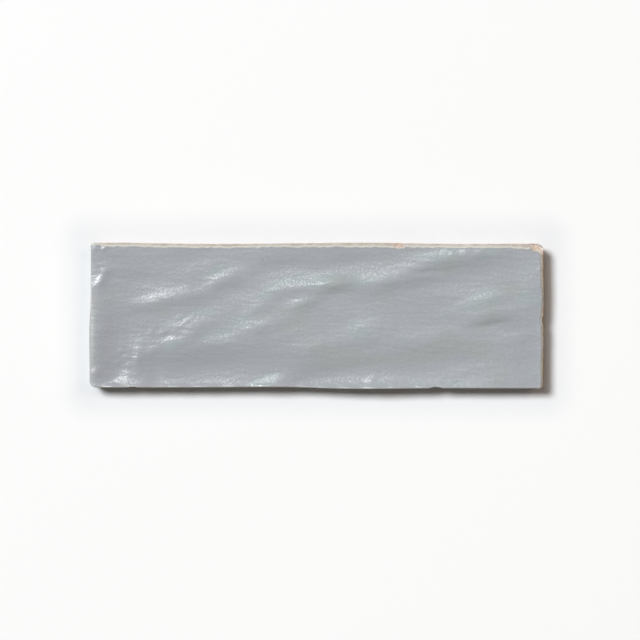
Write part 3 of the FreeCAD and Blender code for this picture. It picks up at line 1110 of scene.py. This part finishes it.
class Value:
    """A number in a shader, wrapped so that plain arithmetic adds its Math nodes."""

    def __init__(self, shader: "Shader", socket: Socket) -> None:
        """Keeps the shader that the socket belongs to."""
        self.shader = shader
        self.socket = socket

    def _math(self, operation: str, first: "Number", second: "Number") -> "Value":
        """Adds one Math node and wraps its result."""
        node = self.shader.node("ShaderNodeMath", {"operation": operation}, {0: first, 1: second})
        return Value(self.shader, node.outputs[0])

    def __add__(self, other: "Number") -> "Value":
        """Sum."""
        return self._math("ADD", self, other)

    def __radd__(self, other: "Number") -> "Value":
        """Sum, reflected."""
        return self._math("ADD", other, self)

    def __sub__(self, other: "Number") -> "Value":
        """Difference."""
        return self._math("SUBTRACT", self, other)

    def __rsub__(self, other: "Number") -> "Value":
        """Difference, reflected."""
        return self._math("SUBTRACT", other, self)

    def __mul__(self, other: "Number") -> "Value":
        """Product."""
        return self._math("MULTIPLY", self, other)

    def __rmul__(self, other: "Number") -> "Value":
        """Product, reflected."""
        return self._math("MULTIPLY", other, self)

    def climb(self, low: float, high: float) -> "Value":
        """A smooth climb.

        Args:
            low: where it is still 0.
            high: where it has reached 1.

        Returns:
            The height of the climb at this value.
        """
        node = self.shader.node(
            "ShaderNodeMapRange",
            {"interpolation_type": "SMOOTHSTEP"},
            {"Value": self, "From Min": low, "From Max": high},
        )
        return Value(self.shader, node.outputs["Result"])


Number = Union[Value, float]
Input = Union[Value, Socket, float, Colour]


@dataclass(frozen=True)
class Grain:
    """A cloudy pattern: the size of its largest clouds, and how many finer layers it has.

    It is drawn out stretch times along a heading of turn degrees from X. start shifts it,
    so that it differs from other patterns.
    """

    size: float
    detail: float = 1.0
    turn: float = 0.0
    stretch: float = 1.0
    start: float = 0.0


class Shader:
    """The nodes of a material or world, with the few ways in which finishes add to them."""

    def __init__(self, owner: Union[bpy.types.Material, bpy.types.World]) -> None:
        """Starts from an empty node tree.

        Args:
            owner: the material or world that has the tree.
        """
        owner.use_nodes = True
        self.tree = owner.node_tree
        self.tree.nodes.clear()

    def node(
        self,
        kind: str,
        settings: Optional[dict[str, object]] = None,
        inputs: Optional[dict[Union[int, str], Input]] = None,
    ) -> bpy.types.Node:
        """Adds a node.

        Args:
            kind: the node's type.
            settings: its own properties, set first.
            inputs: values or links of its sockets, by name or number.

        Returns:
            The node.
        """
        node = self.tree.nodes.new(kind)
        for name, setting in (settings or {}).items():
            setattr(node, name, setting)
        for name, given in (inputs or {}).items():
            socket = node.inputs[name]
            if isinstance(given, Value):
                given = given.socket
            if isinstance(given, bpy.types.NodeSocket):
                self.tree.links.new(given, socket)
            elif socket.type == "RGBA":
                socket.default_value = (*given, 1.0)
            else:
                socket.default_value = given
        return node

    def read(self, mark: Mark) -> Value:
        """A number stored on the mesh."""
        node = self.node("ShaderNodeAttribute", {"attribute_name": mark.value})
        return Value(self, node.outputs["Fac"])

    def vector(self, operation: str, *vectors: Input) -> Socket:
        """The result of a Vector Math node on some vectors."""
        node = self.node("ShaderNodeVectorMath", {"operation": operation}, dict(enumerate(vectors)))
        return node.outputs["Vector"]

    def length(self, vector: Socket) -> Value:
        """How long a vector is."""
        node = self.node("ShaderNodeVectorMath", {"operation": "LENGTH"}, {0: vector})
        return Value(self, node.outputs["Value"])

    @cached_property
    def place(self) -> Socket:
        """The place of the shaded point on its object, in millimetres."""
        coordinates = self.node("ShaderNodeTexCoord").outputs["Object"]
        return self.vector("MULTIPLY", coordinates, (1 / MM,) * 3)

    def noise(self, grain: Grain) -> Value:
        """Cloudy noise about zero.

        Args:
            grain: its pattern.

        Returns:
            The noise, mostly within a half of zero.
        """
        place = self.place
        if grain.stretch != 1.0:
            inputs = {
                "Vector": place,
                "Location": (grain.start, grain.start / 2, grain.start / 3),
                "Rotation": (0, 0, math.radians(grain.turn)),
                "Scale": (grain.stretch, 1, 1),
            }
            mapping = self.node("ShaderNodeMapping", {"vector_type": "TEXTURE"}, inputs)
            place = mapping.outputs["Vector"]
        inputs = {"Vector": place, "Scale": 1 / grain.size, "Detail": grain.detail}
        return Value(self, self.node("ShaderNodeTexNoise", None, inputs).outputs["Fac"]) - 0.5

    def blend(self, share: Number, low: Input, high: Input) -> Socket:
        """A colour between two others."""
        # A Mix node's sockets go by number, because their names repeat: 6 and 7 are colours.
        node = self.node("ShaderNodeMix", {"data_type": "RGBA"}, {0: share, 6: low, 7: high})
        return node.outputs[2]

    def surface(self, inputs: dict[Union[int, str], Input]) -> None:
        """Ends a material with a Principled shader and its output."""
        shader = self.node("ShaderNodeBsdfPrincipled", None, inputs)
        self.node("ShaderNodeOutputMaterial", None, {"Surface": shader.outputs["BSDF"]})


@dataclass(frozen=True)
class Tint:
    """A colour that shows by up to share, as a mask climbs from low to high."""

    colour: Colour
    low: float
    high: float
    share: float

    def over(self, shader: Shader, mask: Value, tone: Socket) -> Socket:
        """Lays the tint over a tone."""
        return shader.blend(mask.climb(self.low, self.high) * self.share, tone, self.colour)


@dataclass(frozen=True)
class GlazeFinish:
    """Milky blue-grey gloss glaze that pools in hollows and thins over rises.

    A pinhole is given by its X, Y and radius, and is full within pin_core of the radius.
    A share says how strongly the colour or pattern that it is named for shows.
    """

    thin: Colour = (0.382, 0.415, 0.453)
    pooled: Colour = (0.315, 0.335, 0.371)
    pool_share: float = 0.9
    cloud: Grain = Grain(size=14.0, detail=2.0)
    cloud_share: float = 1.1
    pool_range: Range = (-0.9, 0.9)
    base: Colour = (0.359, 0.380, 0.421)
    base_share: float = 0.35
    # Teal laid on the flanks that face the key lamp: partly thin glaze there, partly a painted tint
    # of the sheen.
    teal: Tint = Tint((0.334, 0.392, 0.407), low=0.08, high=0.30, share=0.9)
    teal_grain: Grain = Grain(size=9.0, detail=1.5, turn=20.0, stretch=1.8, start=31.0)
    lit_flank_share: float = 0.3
    olive: Tint = Tint((0.346, 0.371, 0.365), low=0.04, high=0.26, share=0.8)
    olive_grain: Grain = Grain(size=12.0, detail=1.5, turn=8.0, stretch=1.6, start=77.0)
    # Lighter thin glaze; on the front rim it is partly a painted highlight.
    sparse_and_rim_light: Colour = (0.420, 0.420, 0.405)
    sparse_and_rim_light_share: float = 0.7
    mottle: Tint = Tint(pooled, low=-0.25, high=0.25, share=0.4)
    mottle_grain: Grain = Grain(size=1.8, stretch=1.3, start=53.0)
    rolled: Colour = (0.310, 0.315, 0.320)
    rolled_range: Range = (0.15, 1.1)
    rolled_share: float = 0.55
    pit: Colour = (0.240, 0.255, 0.275)
    pit_share: float = 0.8
    pin_core: float = 0.3
    pinholes: tuple[tuple[float, float, float], ...] = (
        (-28.3, -3.7, 0.55),
        (-23.6, 24.7, 0.75),
        (66.0, -20.2, 0.45),
        (-20.4, 1.2, 0.30),
        (-82.6, -22.7, 0.40),
    )
    roughness: float = 0.265
    roughness_grain: Grain = Grain(size=0.9)
    roughness_spread: float = 0.20
    rolled_roughness: float = 0.25
    pit_roughness: float = 0.5
    streak: Grain = Grain(size=1.1, turn=-9.0, stretch=3.6)
    streak_height: float = 0.09
    ripple: Grain = Grain(size=0.8, turn=-18.0, stretch=1.5, start=13.0)
    ripple_height: float = 0.09

    def colour(self, shader: Shader) -> Socket:
        """The glaze's colour over the face.

        Args:
            shader: the material's nodes.

        Returns:
            The colour.
        """
        cloud = shader.noise(self.cloud)
        depth = shader.read(Mark.POOL) * self.pool_share + cloud * self.cloud_share
        tone = shader.blend(depth.climb(*self.pool_range), self.thin, self.pooled)
        tone = shader.blend(self.base_share, tone, self.base)
        # Teal on the lamp-facing flanks: partly thin glaze, partly a painted sheen tint.
        drained_lit_flank = shader.noise(self.teal_grain) + shader.read(Mark.DRAINED_LIT_FLANK) * self.lit_flank_share
        tone = self.teal.over(shader, drained_lit_flank, tone)
        settled = shader.noise(self.olive_grain) + shader.read(Mark.SETTLED)
        tone = self.olive.over(shader, settled, tone)
        # Lighter thin glaze on the left edge; on the front rim partly a painted highlight against
        # its shade.
        tone = shader.blend(shader.read(Mark.THIN) * self.sparse_and_rim_light_share, tone, self.sparse_and_rim_light)
        tone = self.mottle.over(shader, shader.noise(self.mottle_grain), tone)
        edge = 1 - shader.read(Mark.MARGIN).climb(*self.rolled_range)
        tone = shader.blend(edge * self.rolled_share, tone, self.rolled)
        return shader.blend(self._pricks(shader) * self.pit_share, tone, self.pit)

    def _pricks(self, shader: Shader) -> Value:
        """The pinholes that bubbles left in the glaze.

        Args:
            shader: the material's nodes.

        Returns:
            1 in a pinhole and 0 elsewhere.
        """
        flat = shader.vector("MULTIPLY", shader.place, (1, 1, 0))
        total: Number = 0.0
        for x, y, radius in self.pinholes:
            away = shader.length(shader.vector("SUBTRACT", flat, (x, y, 0)))
            total = 1 - away.climb(radius * self.pin_core, radius) + total
        return total

    def relief(self, shader: Shader) -> Value:
        """Height of the finest ripples in millimetres."""
        streaks = shader.noise(self.streak) * self.streak_height
        return streaks + shader.noise(self.ripple) * self.ripple_height

    def gloss(self, shader: Shader) -> Value:
        """Roughness over the face.

        Args:
            shader: the material's nodes.

        Returns:
            The roughness.
        """
        matte = shader.read(Mark.ROLLED) * self.rolled_roughness
        pits = self._pricks(shader) * self.pit_roughness
        spread = shader.noise(self.roughness_grain) * self.roughness_spread
        return self.roughness + spread + matte + pits


@dataclass(frozen=True)
class BiscuitFinish:
    """Bare tan biscuit, with a line of pale slip under the glaze's edge.

    slip_width is how far the slip reaches from there, and slip_fade is half the width in
    which it fades out. Flecks of chalk show where a chip has laid the clay open.
    """

    clay: Colour = (0.480, 0.425, 0.375)
    pale_clay: Colour = (0.600, 0.560, 0.515)
    mottle: Grain = Grain(size=4.0, detail=4.0)
    mottle_range: Range = (-0.18, 0.20)
    slip: Colour = (0.590, 0.590, 0.540)
    slip_width: float = 0.8
    slip_fade: float = 0.2
    slip_grain: Grain = Grain(size=1.6)
    slip_wander: float = 0.5
    # Painted shade: the clay goes darker down the sides and along the right rim, as if in shade.
    painted_shade_clay: Colour = (0.270, 0.185, 0.115)
    painted_shade_share: float = 0.85
    painted_shade_grain: Grain = Grain(size=2.6, detail=3.0)
    painted_shade_spread: float = 1.1
    fresh_clay: Colour = (0.570, 0.435, 0.345)
    fresh_share: float = 0.85
    chalk: Colour = (0.790, 0.745, 0.690)
    chalk_grain: Grain = Grain(size=1.2, detail=2.0)
    chalk_range: Range = (0.0, 0.12)
    roughness: float = 0.88
    grain: Grain = Grain(size=0.7, detail=3.0)
    grain_height: float = 0.10

    def colour(self, shader: Shader) -> Socket:
        """The clay's colour, mottled and speckled, with painted shade on the right rim and low on
        the sides.

        Args:
            shader: the material's nodes.

        Returns:
            The colour.
        """
        mottle = shader.noise(self.mottle).climb(*self.mottle_range)
        clay = shader.blend(mottle, self.clay, self.pale_clay)
        margin = shader.read(Mark.MARGIN) + shader.noise(self.slip_grain) * self.slip_wander
        slipped = margin.climb(-self.slip_width - self.slip_fade, self.slip_fade - self.slip_width)
        clay = shader.blend(slipped, clay, self.slip)
        # Painted shade: darker clay at the right rim and low on the sides.
        uneven = self.painted_shade_share + shader.noise(self.painted_shade_grain) * self.painted_shade_spread
        clay = shader.blend(shader.read(Mark.PAINTED_SHADE) * uneven, clay, self.painted_shade_clay)
        flecks = shader.noise(self.chalk_grain).climb(*self.chalk_range)
        fresh = shader.blend(flecks, self.fresh_clay, self.chalk)
        return shader.blend(shader.read(Mark.FRESH) * self.fresh_share, clay, fresh)

    def relief(self, shader: Shader) -> Value:
        """Height of the clay's grain in millimetres."""
        return shader.noise(self.grain) * self.grain_height


@dataclass(frozen=True)
class TileFinish:
    """The tile's one material: glaze where the piece is glazed, biscuit elsewhere.

    fray, in millimetres, is how unevenly the line between them runs, and blur is how
    softly they meet there.
    """

    glaze: GlazeFinish = GlazeFinish()
    biscuit: BiscuitFinish = BiscuitFinish()
    fray_grain: Grain = Grain(size=0.8, detail=2.0)
    fray: float = 0.35
    blur: float = 0.12
    ior: float = 1.6

    def material(self) -> bpy.types.Material:
        """Builds the material.

        Returns:
            The material.
        """
        material = bpy.data.materials.new("glazed_biscuit")
        shader = Shader(material)
        margin = shader.read(Mark.MARGIN) + shader.noise(self.fray_grain) * self.fray
        glazed = margin.climb(-self.blur, self.blur)
        clay = self.biscuit.colour(shader)
        colour = shader.blend(glazed, clay, self.glaze.colour(shader))
        gloss = self.glaze.gloss(shader)
        roughness = self.biscuit.roughness + glazed * (gloss - self.biscuit.roughness)
        grain = self.biscuit.relief(shader)
        height = grain + glazed * (self.glaze.relief(shader) - grain)
        relief = {"Height": height, "Distance": MM, "Strength": 1.0}
        normal = shader.node("ShaderNodeBump", None, relief).outputs["Normal"]
        shader.surface(
            {"Base Color": colour, "Roughness": roughness, "Normal": normal, "IOR": self.ior}
        )
        return material


@dataclass(frozen=True)
class Lamp:
    """A soft round lamp that looks at the tile.

    share is how bright it alone makes a level white surface, where 1 is white.
    """

    name: str
    heading: tuple[float, float, float]
    share: float
    size: float
    colour: Colour = (1.0, 1.0, 1.0)
    distance: float = 12000.0

    def hang(self) -> None:
        """Adds the lamp to the scene."""
        heading = np.array(self.heading)
        heading /= np.linalg.norm(heading)
        metres = self.distance * MM
        data = bpy.data.lights.new(self.name, "AREA")
        data.shape = "DISK"
        data.size = self.size * MM
        data.color = self.colour
        # With this power the lamp alone gives a level white surface a radiance of share.
        data.energy = self.share * math.pi**2 * metres**2 / heading[2]
        lamp = bpy.data.objects.new(self.name, data)
        lamp.location = heading * metres
        lamp.rotation_euler = lamp.location.to_track_quat("Z", "Y").to_euler()
        bpy.context.scene.collection.objects.link(lamp)


@dataclass
class Studio:
    """The pale floor, three lamps and the camera above.

    The key lamp is soft and wide, a weak one stands behind, and a warm one at the side.
    Painted shade makes the floor a little darker next to the tile, whose half sizes are
    called covered, and floor_reach says how far from it that ends. fill is the strength of
    the even light, and backdrop that of the room which the camera and the gloss see.
    """

    floor_size: float = 6000.0
    # Painted shade: the floor's colour right next to the tile.
    near_floor_painted_shade: Colour = (0.852, 0.880, 0.914)
    far_floor: Colour = (0.962, 0.982, 1.000)
    floor_reach: Range = (2.0, 18.0)
    covered: tuple[float, float, float] = (100.0, 32.5, 0.0)
    lamps: tuple[Lamp, ...] = (
        Lamp("key", heading=(-0.46, 0.33, 0.83), share=0.796, size=4200.0, colour=(0.988, 1.0, 1.0)),
        Lamp("rear", heading=(-0.18, 0.41, 0.89), share=0.075, size=2400.0),
        Lamp("side", heading=(0.55, 0.30, 0.78), share=0.082, size=4200.0, colour=(1.0, 0.70, 0.50)),
    )
    fill: float = 0.09
    fill_colour: Colour = (1.0, 0.93, 0.86)
    backdrop: float = 0.92
    backdrop_colour: Colour = (1.0, 1.0, 1.0)
    frame_width: float = 281.9
    centre: tuple[float, float] = (1.66, -1.90)
    face_height: float = 9.0
    lens: float = 200.0
    sensor: float = 36.0

    def build(self) -> None:
        """Adds the floor, the lamps, the world and the camera."""
        self._lay_floor()
        for lamp in self.lamps:
            lamp.hang()
        self._fill_world()
        self._set_camera()
        bpy.context.scene.view_settings.view_transform = "Standard"

    def _lay_floor(self) -> None:
        """Lays the floor a hair under the tile's back."""
        bpy.ops.object.select_all(action="DESELECT")
        bpy.ops.mesh.primitive_plane_add(size=self.floor_size * MM, location=(0, 0, -HAIR * MM))
        floor = bpy.context.object
        floor.name = "studio_floor"
        material = bpy.data.materials.new("studio_floor")
        shader = Shader(material)
        # Painted shade: the floor darkens towards the tile.
        folded = shader.vector("ABSOLUTE", shader.place)
        beyond = shader.vector("MAXIMUM", shader.vector("SUBTRACT", folded, self.covered), (0, 0, 0))
        share = shader.length(beyond).climb(*self.floor_reach)
        tone = shader.blend(share, self.near_floor_painted_shade, self.far_floor)
        shader.surface({"Base Color": tone, "Roughness": 1.0, "Specular IOR Level": 0.0})
        floor.data.materials.append(material)

    def _fill_world(self) -> None:
        """Lights the scene evenly, and shows as a pale room to the camera and in gloss."""
        world = bpy.data.worlds.new("room")
        bpy.context.scene.world = world
        shader = Shader(world)
        path = shader.node("ShaderNodeLightPath")
        seen = Value(shader, path.outputs["Is Camera Ray"])
        for name in ("Is Glossy Ray", "Is Transmission Ray"):
            seen = seen + Value(shader, path.outputs[name])
        strength = shader.node(
            "ShaderNodeMapRange", None, {"Value": seen, "To Min": self.fill, "To Max": self.backdrop}
        )
        tint = shader.blend(seen, self.fill_colour, self.backdrop_colour)
        background = shader.node(
            "ShaderNodeBackground", None, {"Strength": strength.outputs["Result"], "Color": tint}
        )
        shader.node("ShaderNodeOutputWorld", None, {"Surface": background.outputs["Background"]})

    def _set_camera(self) -> None:
        """Sets the camera straight above, so that the frame is frame_width at the face."""
        data = bpy.data.cameras.new("camera")
        data.lens = self.lens
        data.sensor_width = self.sensor
        camera = bpy.data.objects.new("camera", data)
        distance = self.frame_width * self.lens / self.sensor
        camera.location = np.array([*self.centre, self.face_height + distance]) * MM
        bpy.context.scene.collection.objects.link(camera)
        bpy.context.scene.camera = camera


def main() -> None:
    """Builds the tile and the studio round it."""
    logging.basicConfig(level=logging.INFO, format="%(name)s: %(message)s")
    design = PressedTile()
    tile = design.build()
    design.dress(tile)
    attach(tile, ROOT_BODY)
    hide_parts(TILE_NODE)
    tile.data.calc_loop_triangles()
    log.info("%s has %d triangles", tile.name, len(tile.data.loop_triangles))
    Studio().build()
    log.info("the studio is set")


if __name__ == "__main__":
    main()
